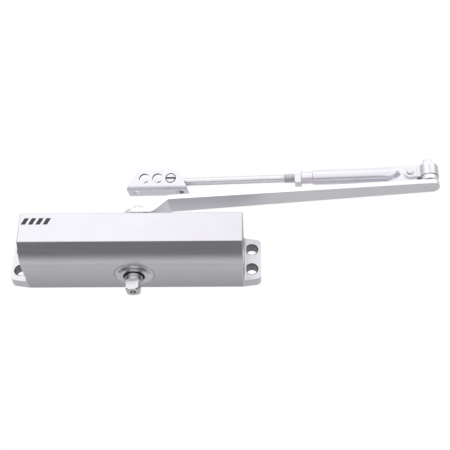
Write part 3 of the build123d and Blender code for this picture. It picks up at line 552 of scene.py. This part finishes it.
def thread_tree():
    """Geometry Nodes that roll a thread along Z: a strip wound on itself, one pitch wide."""
    tree = bpy.data.node_groups.new("rolled thread", "GeometryNodeTree")
    face = tree.interface
    face.new_socket("Geometry", in_out="OUTPUT", socket_type="NodeSocketGeometry")
    for name in ("Root Radius", "Crest Radius", "Pitch", "Turns", "Run Out"):
        face.new_socket(name, in_out="INPUT", socket_type="NodeSocketFloat")
    face.new_socket("Segments", in_out="INPUT", socket_type="NodeSocketInt")
    face.new_socket("Material", in_out="INPUT", socket_type="NodeSocketMaterial")

    def add(kind, sockets=None, **settings):
        node = tree.nodes.new(kind)
        for key, value in settings.items():
            setattr(node, key, value)
        for socket, value in (sockets or {}).items():
            if isinstance(value, bpy.types.NodeSocket):
                tree.links.new(value, node.inputs[socket])
            else:
                node.inputs[socket].default_value = value
        return node

    def sum(operation, *values, clamp=False):
        return add("ShaderNodeMath", dict(enumerate(values)), operation=operation, use_clamp=clamp).outputs[0]

    given = add("NodeGroupInput").outputs
    steps = sum("ADD", sum("MULTIPLY", given["Turns"], given["Segments"]), 1.0)
    strip = add("GeometryNodeMeshGrid", {"Size X": 1.0, "Size Y": 1.0, "Vertices X": steps, "Vertices Y": 7})
    flat = add("ShaderNodeSeparateXYZ", {0: add("GeometryNodeInputPosition").outputs[0]}).outputs
    turn = sum("MULTIPLY", sum("ADD", flat[0], 0.5), given["Turns"])
    across = sum("ADD", flat[1], 0.5)
    ridge = sum("SUBTRACT", 1.0, sum("ABSOLUTE", sum("MULTIPLY", flat[1], 2.0)))
    ridge = sum("MULTIPLY", ridge, 1.3, clamp=True)
    from_start = sum("DIVIDE", turn, given["Run Out"], clamp=True)
    from_end = sum("DIVIDE", sum("SUBTRACT", given["Turns"], turn), given["Run Out"], clamp=True)
    ridge = sum("MULTIPLY", ridge, sum("MINIMUM", from_start, from_end))
    depth = sum("MULTIPLY", ridge, sum("SUBTRACT", given["Crest Radius"], given["Root Radius"]))
    radius = sum("ADD", given["Root Radius"], depth)
    angle = sum("MULTIPLY", turn, 2 * pi)
    height = sum("MULTIPLY", sum("ADD", turn, across), given["Pitch"])
    x = sum("MULTIPLY", radius, sum("COSINE", angle))
    y = sum("MULTIPLY", radius, sum("SINE", angle))
    wound = add("ShaderNodeCombineXYZ", {0: x, 1: y, 2: height}).outputs[0]
    rolled = add("GeometryNodeSetPosition", {"Geometry": strip.outputs["Mesh"], "Position": wound})
    real = add("GeometryNodeRealizeInstances", {"Geometry": rolled.outputs[0]})
    coloured = add("GeometryNodeSetMaterial", {"Geometry": real.outputs[0], "Material": given["Material"]})
    add("NodeGroupOutput", {"Geometry": coloured.outputs[0]})
    return tree


def rolled_thread(name, tree, place, material, **sizes):
    """A thread as a plain mesh, rolled along Z by the tree and put in its place."""
    carrier = bpy.data.objects.new(name, bpy.data.meshes.new(name))
    bpy.context.scene.collection.objects.link(carrier)
    modifier = carrier.modifiers.new("thread", "NODES")
    modifier.node_group = tree
    sizes["Material"] = material
    for item in tree.interface.items_tree:
        if item.in_out == "INPUT":
            modifier[item.identifier] = sizes[item.name.replace(" ", "_")]
    evaluated = carrier.evaluated_get(bpy.context.evaluated_depsgraph_get())
    mesh = bpy.data.meshes.new_from_object(evaluated)
    bpy.data.objects.remove(carrier)
    mesh.transform(place)
    shape = bmesh.new()
    shape.from_mesh(mesh)
    bmesh.ops.remove_doubles(shape, verts=shape.verts, dist=0.002 * MM)
    shape.to_mesh(mesh)
    shape.free()
    return shown(name, mesh, material, sharp_angle=75.0)


def adjusting_rod(tree):
    """The adjusting rod with its thread rolled over a thinner core."""
    shape = welded_copy("adjusting_rod")
    inverse = forearm_frame.inverted()
    round_edges(shape, corners_of(shape, 60), 0.2 * MM, 2)
    for vert in shape.verts:
        local = inverse @ vert.co
        radius = sqrt(local.y ** 2 + local.z ** 2)
        if local.x < ROD_THREAD_END + 0.5 * MM and radius > ROD_CORE_R:
            share = (ROD_CORE_R - 0.02 * MM) / radius
            vert.co = forearm_frame @ Vector((local.x, local.y * share, local.z * share))
    finish_shape("adjusting_rod_finished", "adjusting_rod", shape, rod_zinc)
    along = forearm_frame @ Matrix.Translation((ROD_THREAD_START, 0, 0)) @ Matrix.Rotation(pi / 2, 4, "Y")
    turns = int((ROD_THREAD_END - ROD_THREAD_START) / ROD_PITCH) - 1
    thread = rolled_thread("adjusting_rod_thread", tree, along, thread_zinc, Root_Radius=ROD_CORE_R,
                           Crest_Radius=ROD_THREAD_R, Pitch=ROD_PITCH, Turns=float(turns), Run_Out=0.6,
                           Segments=THREAD_SEGMENTS)
    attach(thread, "rod")


def spindle_tap(tree):
    """The tapped thread that shows in the spindle's lower end."""
    low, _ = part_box("pinion_spindle")
    start = Matrix.Translation((spindle.x, spindle.y, low.z + 0.6 * MM))
    tap = rolled_thread("spindle_tapped_thread", tree, start, spindle_metal, Root_Radius=TAP_R + 0.02 * MM,
                        Crest_Radius=TAP_CREST_R, Pitch=TAP_PITCH, Turns=TAP_DEPTH / TAP_PITCH, Run_Out=0.5,
                        Segments=THREAD_SEGMENTS)
    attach(tap, "spindle")


def hidden_and_plain_pieces():
    """Give each CAD piece that keeps its own shape its finish."""
    finishes = {
        bearing_bronze: ("upper_bearing", "lower_bearing"),
        seal_rubber: ("upper_shaft_seal", "lower_shaft_seal", "end_cap_seals", "closing_valve_ring",
                      "latching_valve_ring"),
        spring_metal: ("main_spring", "check_ball"),
        piston_metal: ("piston",),
        screw_zinc: ("check_retainer",),
    }
    for material, members in finishes.items():
        for node in members:
            for slot in nodes[node].material_slots:
                slot.material = material


def closer():
    """Every piece of the closer."""
    hidden_and_plain_pieces()
    for node, width, material, slot, *recess in (
        ("housing", 0.22 * MM, body_lacquer_and_shade, "body_paint", hole_wall_metal_and_shade, in_fixing_hole),
        ("spring_end_cap", 0.2 * MM, cap_metal, "cap_metal"),
        ("valve_end_cap", 0.2 * MM, cap_metal, "cap_metal"),
        ("upper_pinion_nut", 0.15 * MM, nut_zinc, "zinc_steel"),
        ("lower_pinion_nut", 0.15 * MM, nut_zinc, "zinc_steel"),
        ("pinion_spindle", 0.15 * MM, spindle_metal, "spindle_steel"),
        ("arm_washer", 0.15 * MM, screw_zinc, "zinc_steel"),
        ("arm_screw", 0.15 * MM, screw_zinc, "zinc_steel"),
        ("elbow_bush", 0.2 * MM, elbow_zinc, "zinc_steel"),
        ("elbow_washer", 0.15 * MM, elbow_zinc, "zinc_steel"),
        ("elbow_pin", 0.2 * MM, elbow_zinc, "zinc_steel"),
        ("knuckle_strap", 0.3 * MM, strap_zinc, "zinc_steel"),
        ("knuckle_rivet", 0.1 * MM, strap_zinc, "zinc_steel"),
        ("lock_nut", 0.15 * MM, lock_nut_zinc, "zinc_steel"),
        ("shoe_bracket", 0.3 * MM, shoe_lacquer, "arm_paint", hole_wall_metal_and_shade, in_shoe_hole),
        ("shoe_pivot", 0.15 * MM, pivot_zinc, "zinc_steel", slot_shade_metal, in_pivot_slot),
        ("shoe_spacers", 0.2 * MM, pivot_zinc, "zinc_steel"),
        ("closing_valve", 0.1 * MM, valve_brass, "brass_valve"),
        ("latching_valve", 0.1 * MM, valve_brass, "brass_valve"),
    ):
        rounded_piece(node, width, material, recess)
    main_arm()
    forearm_tube()
    tree = thread_tree()
    adjusting_rod(tree)
    spindle_tap(tree)


# ---- Studio ----------------------------------------------------------------------------------


def studio_dome():
    """A soft white dome, grey low behind the object and darker straight below it."""
    world = bpy.data.worlds.new("studio dome")
    bpy.context.scene.world = world
    world.use_nodes = True
    tree = world.node_tree
    tree.nodes.clear()

    def add(kind, **settings):
        node = tree.nodes.new(kind)
        for key, value in settings.items():
            setattr(node, key, value)
        return node

    join = tree.links.new
    split = add("ShaderNodeSeparateXYZ")
    join(add("ShaderNodeTexCoord").outputs["Generated"], split.inputs[0])
    down = add("ShaderNodeMath", operation="MULTIPLY")
    join(split.outputs[2], down.inputs[0])
    down.inputs[1].default_value = -1.0
    angle = add("ShaderNodeMath", operation="ARCTAN2")
    join(down.outputs[0], angle.inputs[0])
    join(split.outputs[1], angle.inputs[1])
    share = add("ShaderNodeMapRange")
    join(angle.outputs[0], share.inputs["Value"])
    share.inputs["From Min"].default_value = -pi
    share.inputs["From Max"].default_value = pi
    sideways = add("ShaderNodeMath", operation="ABSOLUTE")
    join(split.outputs[0], sideways.inputs[0])
    dimmer = add("ShaderNodeMapRange", interpolation_type="SMOOTHSTEP")
    join(sideways.outputs[0], dimmer.inputs["Value"])
    for socket, value in SIDE_DIMMING.items():
        dimmer.inputs[socket].default_value = value
    ramp = add("ShaderNodeValToRGB")
    join(share.outputs[0], ramp.inputs[0])
    ramp.color_ramp.interpolation = "EASE"
    ramp.color_ramp.elements.remove(ramp.color_ramp.elements[1])
    for i, (degrees_round, level_of_light) in enumerate(DOME_STEPS):
        at = (degrees_round + 180) / 360
        element = ramp.color_ramp.elements[0] if i == 0 else ramp.color_ramp.elements.new(at)
        element.position = at
        element.color = (level_of_light, level_of_light, level_of_light, 1)
    strength = add("ShaderNodeMath", operation="MULTIPLY")
    join(dimmer.outputs[0], strength.inputs[0])
    strength.inputs[1].default_value = DOME_STRENGTH
    lit = add("ShaderNodeBackground")
    join(ramp.outputs[0], lit.inputs["Color"])
    join(strength.outputs[0], lit.inputs["Strength"])
    white = add("ShaderNodeBackground")
    white.inputs["Color"].default_value = (1, 1, 1, 1)
    seen = add("ShaderNodeMixShader")
    join(add("ShaderNodeLightPath").outputs["Is Camera Ray"], seen.inputs[0])
    join(lit.outputs[0], seen.inputs[1])
    join(white.outputs[0], seen.inputs[2])
    join(seen.outputs[0], add("ShaderNodeOutputWorld").inputs["Surface"])


def softbox(name, place, size, power):
    """A large soft lamp that faces the object."""
    lamp = bpy.data.lights.new(name, "AREA")
    lamp.shape = "SQUARE"
    lamp.size = size
    lamp.energy = power
    holder = bpy.data.objects.new(name, lamp)
    bpy.context.scene.collection.objects.link(holder)
    place = Vector(place)
    holder.matrix_world = Matrix.Translation(place) @ (place - VIEW_TARGET).to_track_quat("Z", "Y").to_matrix().to_4x4()


def pale_floor():
    """A wide pale floor, well below the object."""
    half = FLOOR_SIZE / 2
    mesh = bpy.data.meshes.new("floor")
    mesh.from_pydata([(-half, -half, FLOOR_Z), (half, -half, FLOOR_Z), (half, half, FLOOR_Z), (-half, half, FLOOR_Z)],
                     [], [(0, 1, 2, 3)])
    floor = bpy.data.objects.new("floor", mesh)
    bpy.context.scene.collection.objects.link(floor)
    finish = Finish("pale floor", Roughness=0.9)
    finish.drive("Base Color", finish.mix(finish.noise(finish.place, 3.0), shade(0.86), shade(0.9)))
    mesh.materials.append(finish.material)
    floor.visible_glossy = False
    floor.visible_diffuse = False


def camera():
    """The camera, below and in front of the closer, rolled a little."""
    level_out = Vector((sin(VIEW_AZIMUTH), -cos(VIEW_AZIMUTH), 0))
    back = level_out * cos(VIEW_ELEVATION) + UP * sin(VIEW_ELEVATION)
    right = UP.cross(back).normalized()
    above = back.cross(right)
    x_axis = right * cos(VIEW_ROLL) + above * sin(VIEW_ROLL)
    y_axis = above * cos(VIEW_ROLL) - right * sin(VIEW_ROLL)
    data = bpy.data.cameras.new("camera")
    data.sensor_width = SENSOR
    data.lens = LENS
    holder = bpy.data.objects.new("camera", data)
    bpy.context.scene.collection.objects.link(holder)
    holder.matrix_world = lined_up(VIEW_TARGET + back * VIEW_DISTANCE, x_axis, y_axis)
    bpy.context.scene.camera = holder


closer()
studio_dome()
softbox("key lamp", (-0.5, -1.5, 1.3), 1.2, 1.5)
softbox("fill lamp", (0.9, -0.6, 1.2), 1.0, 1.0)
pale_floor()
camera()
bpy.context.scene.view_settings.view_transform = "Standard"
